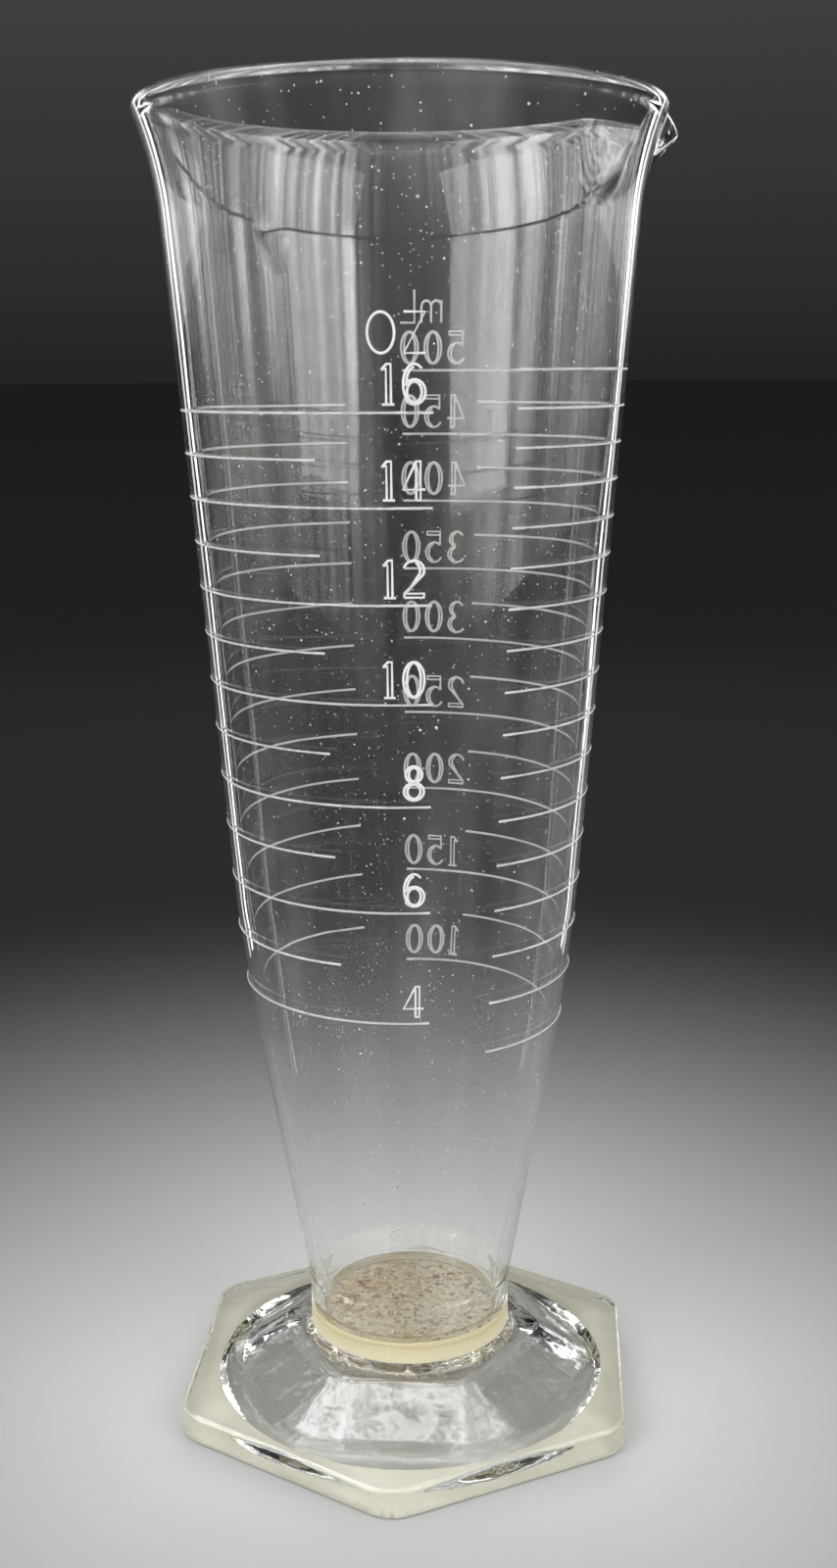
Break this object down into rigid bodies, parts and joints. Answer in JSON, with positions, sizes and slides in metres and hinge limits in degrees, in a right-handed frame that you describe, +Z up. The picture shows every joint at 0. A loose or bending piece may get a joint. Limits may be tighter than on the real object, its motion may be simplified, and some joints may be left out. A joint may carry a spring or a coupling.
{
  "type": "conical glass graduate",
  "caption": "Tall conical glass measuring graduate with a pulled pouring spout, fired white volume scales and a cemented six-sided pressed glass foot.",
  "frame": {"origin": "on the axis of the glass, at the table that the foot stands on", "axes": "+Z up along the axis of the glass, -Y towards the side where the ounce scale is read, +X roughly towards the spout, which is 19 degrees round from +X towards +Y"},
  "size_m": [0.0958, 0.1002, 0.2456],
  "materials": {
    "blown_glass": "fire polished",
    "pressed_glass": "pressed, with a ground underside",
    "enamel": "fired enamel",
    "grainy_cement": "rough",
    "smooth_cement": "matt"
  },
  "bodies": {
    "root": {"cup": "blown_glass", "ounce_lines": "enamel", "millilitre_lines": "enamel", "cement_bed": "grainy_cement", "cement_collar": "smooth_cement", "foot": "pressed_glass"}
  },
  "joints": []
}
